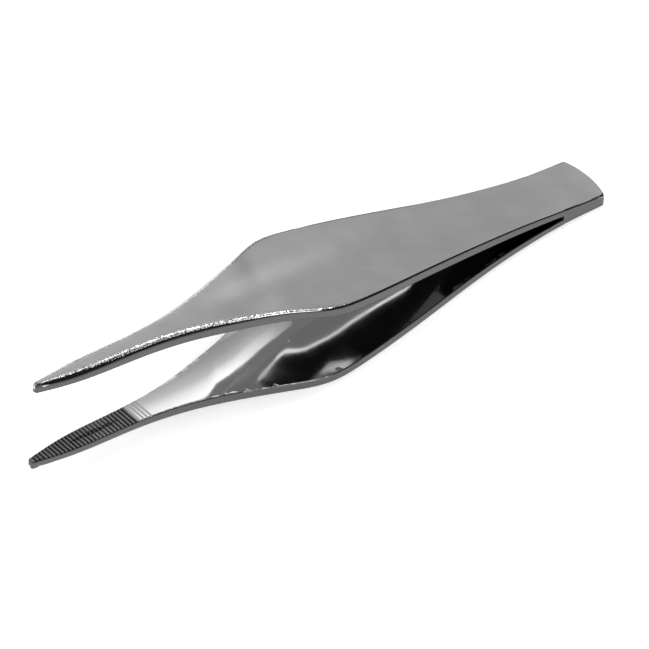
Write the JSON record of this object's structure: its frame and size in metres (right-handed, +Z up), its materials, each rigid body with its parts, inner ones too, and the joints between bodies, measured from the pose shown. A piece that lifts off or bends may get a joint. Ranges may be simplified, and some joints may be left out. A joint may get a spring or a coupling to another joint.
{
  "type": "thumb forceps",
  "caption": "Thumb forceps with bowed steel arms joined at the tail, broad leaf-shaped finger grips, and slim serrated jaws that spring apart and pinch together.",
  "frame": {"origin": "centre of the bounding box's bottom, on the table that the forceps lie on", "axes": "+X from the jaws' tips towards the tail, +Y across the arms to the far side of the picture, +Z up from the table; the arms close along Z"},
  "size_m": [0.121, 0.023, 0.0236],
  "materials": {
    "polished_steel": "polished stainless steel with fine grinding lines along the arms, and satin ground side edges"
  },
  "bodies": {
    "lower_arm": {"lower_arm": "polished_steel"},
    "upper_arm": {"upper_arm": "polished_steel"}
  },
  "joints": [
    {"name": "arm_spring", "type": "hinge", "parent": "lower_arm", "child": "upper_arm", "pos_m": [0.05043, 0, 0.00222], "axis": [0, -1, 0], "range_deg": [0, 7.68], "stiffness_Nm_per_rad": 2}
  ]
}
